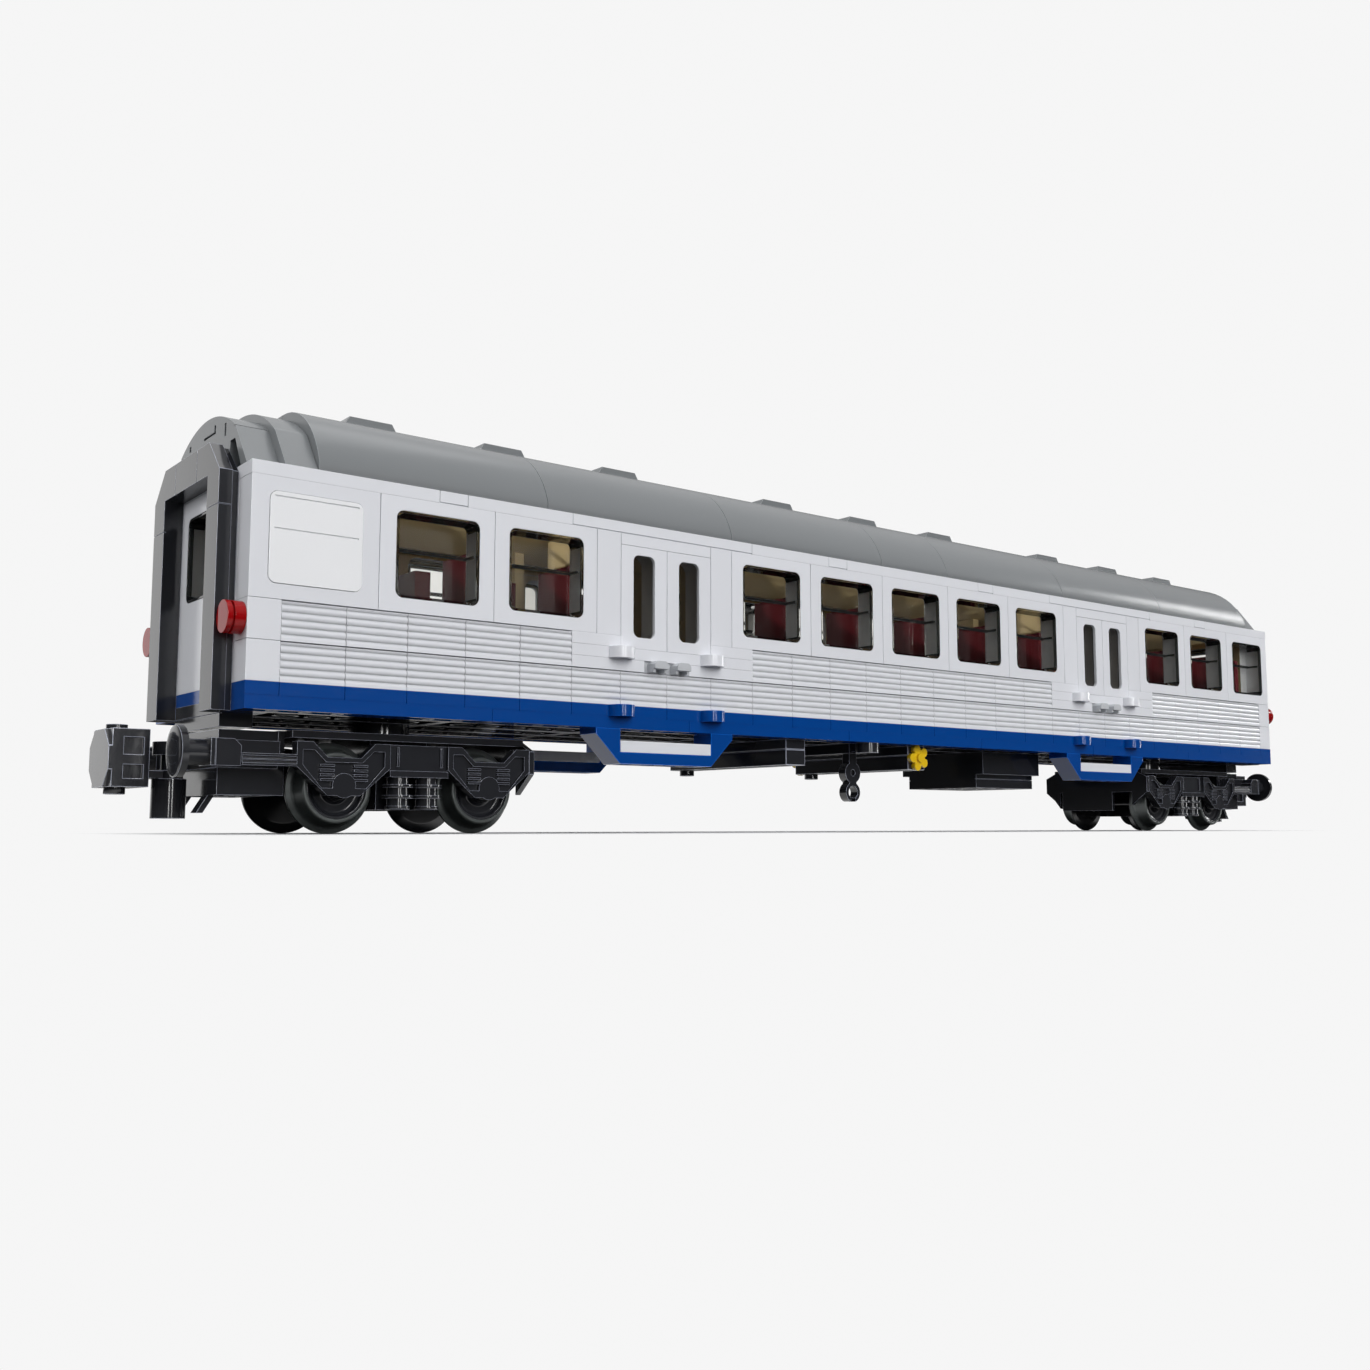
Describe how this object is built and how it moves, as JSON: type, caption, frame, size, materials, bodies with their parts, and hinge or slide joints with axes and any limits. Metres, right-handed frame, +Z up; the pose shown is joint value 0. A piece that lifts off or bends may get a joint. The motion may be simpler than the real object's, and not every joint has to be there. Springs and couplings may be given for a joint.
{
  "type": "toy passenger coach",
  "caption": "Brick-built model passenger coach with ribbed white sides, blue sill, grey arched roof, two double doors a side and two swivelling bogies.",
  "frame": {"origin": "bottom centre of the coach, level with the lowest points of the wheel flanges", "axes": "+X along the coach towards end b, +Y across it to the left side, +Z up"},
  "size_m": [0.4924, 0.0718, 0.1084],
  "materials": {
    "white_plastic": "gloss",
    "light_grey_plastic": "gloss",
    "blue_plastic": "gloss",
    "black_plastic": "gloss",
    "grey_plastic": "satin gloss",
    "smoke_window": "clear, smoke tinted",
    "red_lens": "clear red",
    "tan_plastic": "gloss",
    "dark_red_plastic": "gloss",
    "yellow_plastic": "gloss",
    "wheel_metal": "satin"
  },
  "bodies": {
    "coach_body": {"blank_inserts": "white_plastic", "brake_knobs": "yellow_plastic", "ceiling": "tan_plastic", "corner_bricks": "white_plastic", "cross_beams": "black_plastic", "door_bands": "white_plastic", "door_clips": "light_grey_plastic", "door_leaves": "white_plastic", "door_panes": "smoke_window", "door_studs": "white_plastic", "end_walls": "white_plastic", "equipment_box": "black_plastic", "floor_deck": "black_plastic", "gangway_a": "black_plastic", "gangway_b": "black_plastic", "headstocks": "black_plastic", "partitions": "tan_plastic", "pivot_pins": "black_plastic", "ribbed_walls": "white_plastic", "ring_hanger": "black_plastic", "roof_end_a": "grey_plastic", "roof_end_b": "grey_plastic", "roof_ridge": "grey_plastic", "roof_sides": "grey_plastic", "roof_vents": "grey_plastic", "seats": "dark_red_plastic", "sill_frame": "blue_plastic", "sill_studs": "blue_plastic", "step_boards": "white_plastic", "step_frames": "blue_plastic", "tail_lamps": "red_lens", "top_rails": "white_plastic", "window_inserts": "smoke_window", "window_wall_left": "white_plastic", "window_wall_right": "white_plastic"},
    "bogie_a": {"bogie_frame_a": "black_plastic", "bogie_sides_a": "black_plastic", "buffer_beam_a": "black_plastic"},
    "coupler_a": {"coupler_a": "black_plastic"},
    "wheelset_a1": {"wheelset_a1": "wheel_metal"},
    "wheelset_a2": {"wheelset_a2": "wheel_metal"},
    "bogie_b": {"bogie_frame_b": "black_plastic", "bogie_sides_b": "black_plastic", "buffer_beam_b": "black_plastic"},
    "coupler_b": {"coupler_b": "black_plastic"},
    "wheelset_b1": {"wheelset_b1": "wheel_metal"},
    "wheelset_b2": {"wheelset_b2": "wheel_metal"}
  },
  "joints": [
    {"name": "bogie_a_swivel", "type": "hinge", "parent": "coach_body", "child": "bogie_a", "pos_m": [-0.176, 0, 0.0236], "axis": [0, 0, 1], "range_deg": [-20, 20]},
    {"name": "coupler_a_swing", "type": "hinge", "parent": "bogie_a", "child": "coupler_a", "pos_m": [-0.23, 0, 0.0204], "axis": [0, 0, 1], "range_deg": [-10, 10]},
    {"name": "wheelset_a1_roll", "type": "hinge", "parent": "bogie_a", "child": "wheelset_a1", "pos_m": [-0.196, 0, 0.0112], "axis": [0, 1, 0], "continuous": true},
    {"name": "wheelset_a2_roll", "type": "hinge", "parent": "bogie_a", "child": "wheelset_a2", "pos_m": [-0.156, 0, 0.0112], "axis": [0, 1, 0], "continuous": true},
    {"name": "bogie_b_swivel", "type": "hinge", "parent": "coach_body", "child": "bogie_b", "pos_m": [0.176, 0, 0.0236], "axis": [0, 0, 1], "range_deg": [-20, 20]},
    {"name": "coupler_b_swing", "type": "hinge", "parent": "bogie_b", "child": "coupler_b", "pos_m": [0.23, 0, 0.0204], "axis": [0, 0, 1], "range_deg": [-10, 10]},
    {"name": "wheelset_b1_roll", "type": "hinge", "parent": "bogie_b", "child": "wheelset_b1", "pos_m": [0.196, 0, 0.0112], "axis": [0, 1, 0], "continuous": true},
    {"name": "wheelset_b2_roll", "type": "hinge", "parent": "bogie_b", "child": "wheelset_b2", "pos_m": [0.156, 0, 0.0112], "axis": [0, 1, 0], "continuous": true}
  ]
}
